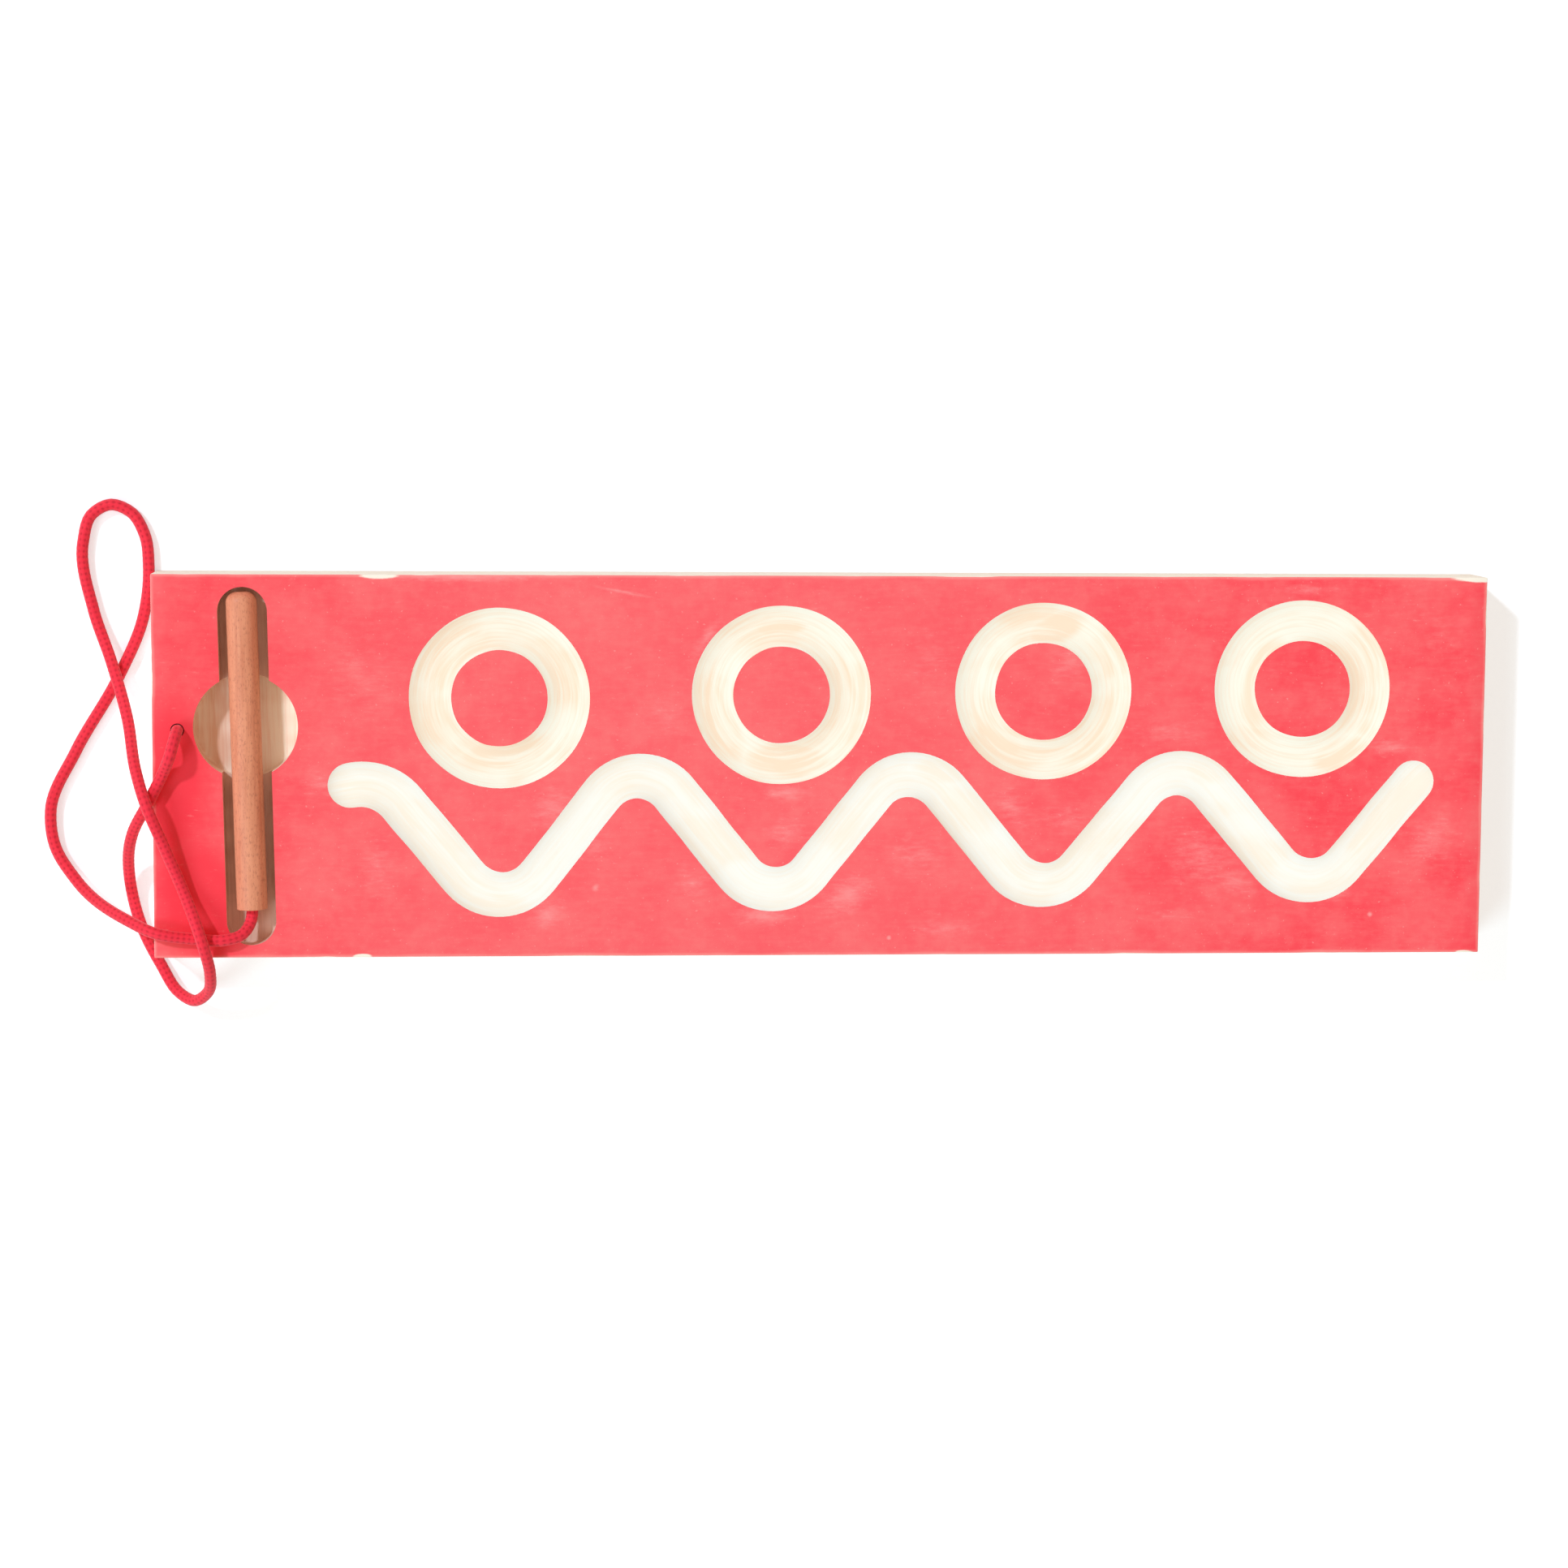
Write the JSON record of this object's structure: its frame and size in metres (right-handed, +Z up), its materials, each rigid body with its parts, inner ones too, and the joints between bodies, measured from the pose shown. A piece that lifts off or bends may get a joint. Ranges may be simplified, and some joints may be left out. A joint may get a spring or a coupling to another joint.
{
  "type": "wooden tracing board",
  "caption": "Flat wooden plank with a painted face, routed rings and a wave to trace, and a dowel stylus tied on with a cord.",
  "frame": {"origin": "middle of the board's underside", "axes": "+X along the board, away from the stylus end; +Y across it, towards the ring row; +Z up out of the painted face"},
  "size_m": [0.3795, 0.1331, 0.0252],
  "materials": {
    "board_wood": "bare, sanded",
    "face_paint": "thin matt water paint, lightly sanded through at its edges",
    "stylus_wood": "bare, sanded dowel",
    "cord_red": "fine braided cord"
  },
  "bodies": {
    "board": {"board": "board_wood", "face_paint": "face_paint", "tether_cord": "cord_red", "tether_knot": "cord_red"},
    "stylus": {"stylus": "stylus_wood", "stylus_cord_end": "cord_red"}
  },
  "joints": [
    {"name": "stylus_lift", "type": "slide", "parent": "board", "child": "stylus", "axis": [0, 0, 1], "range_m": [0, 0.03]}
  ]
}
